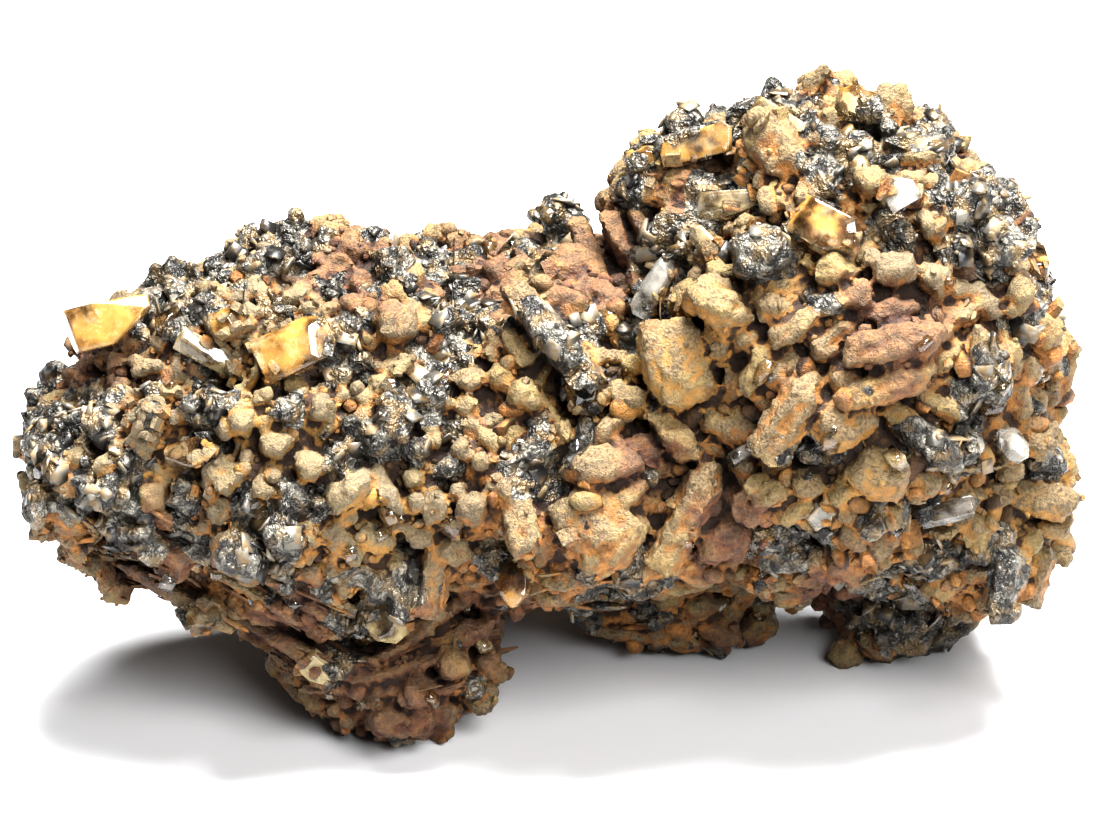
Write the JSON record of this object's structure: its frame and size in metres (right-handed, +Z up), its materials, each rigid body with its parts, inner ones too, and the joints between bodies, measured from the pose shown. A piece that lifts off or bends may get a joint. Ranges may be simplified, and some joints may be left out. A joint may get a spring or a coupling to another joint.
{
  "type": "limonite with quartz specimen",
  "caption": "Knobbly dumbbell-shaped lump of porous limonite set with broken and six-sided quartz crystals, standing on its own worn feet.",
  "frame": {"origin": "middle of the outline on the surface under the feet", "axes": "+Z up, +X along the length towards the taller end, -Y towards the face with the crystals"},
  "size_m": [0.1156, 0.056, 0.0724],
  "materials": {
    "limonite": "rough, ochre and rust coated with glossy black patches",
    "amber_quartz": "glassy broken faces, amber",
    "milky_quartz": "glassy broken faces, cloudy cream",
    "clear_quartz": "glassy faces, clear over dark"
  },
  "bodies": {
    "root": {"limonite_matrix": "limonite", "quartz_amber_plate": "amber_quartz", "quartz_armoured_block": "milky_quartz", "quartz_back_milky": "milky_quartz", "quartz_back_plate": "amber_quartz", "quartz_back_prism": "amber_quartz", "quartz_crest_block": "amber_quartz", "quartz_cuffed_a": "clear_quartz", "quartz_cuffed_b": "clear_quartz", "quartz_dark_window": "clear_quartz", "quartz_fire_tip": "amber_quartz", "quartz_foot_wedge": "clear_quartz", "quartz_golden_block": "milky_quartz", "quartz_golden_plate": "amber_quartz", "quartz_hexagon": "amber_quartz", "quartz_honey_chip": "amber_quartz", "quartz_honey_mass": "amber_quartz", "quartz_honey_prism": "amber_quartz", "quartz_left_side": "milky_quartz", "quartz_milky_sliver": "milky_quartz", "quartz_pale_lump": "milky_quartz", "quartz_pale_tablet": "milky_quartz", "quartz_right_side": "amber_quartz", "quartz_rose_prism": "clear_quartz", "quartz_shoulder_block": "amber_quartz", "quartz_smoky_prism": "clear_quartz", "quartz_striated_prism": "clear_quartz", "quartz_top_back": "amber_quartz"}
  },
  "joints": []
}
